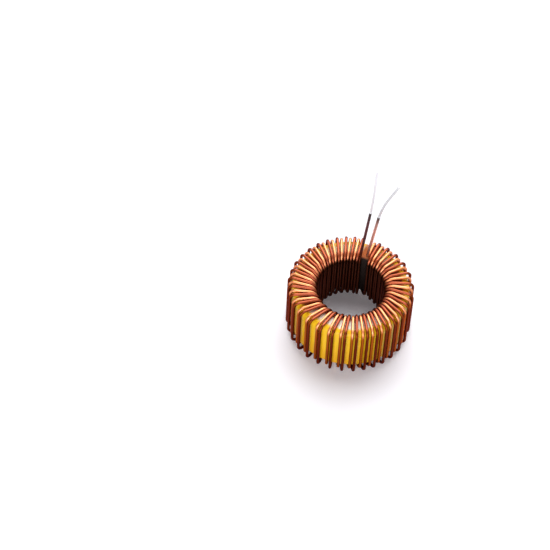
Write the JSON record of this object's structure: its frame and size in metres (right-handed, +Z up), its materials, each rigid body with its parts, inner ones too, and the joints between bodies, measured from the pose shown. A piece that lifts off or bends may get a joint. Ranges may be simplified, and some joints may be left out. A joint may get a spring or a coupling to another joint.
{
  "type": "toroidal inductor",
  "caption": "Ring-core inductor: a pressed powder toroid wound twice round with enamelled copper wire, its two tinned leads standing up.",
  "frame": {"origin": "on the ring's axis, in the plane that the winding rests on", "axes": "+Z up along the ring's axis, towards the lead tips; +Y towards the side the leads stand on"},
  "size_m": [0.0224, 0.0224, 0.0325],
  "materials": {
    "core_coat": "satin",
    "enamelled_wire": "gloss"
  },
  "bodies": {
    "root": {"toroid_core": "core_coat", "winding": "enamelled_wire"}
  },
  "joints": []
}
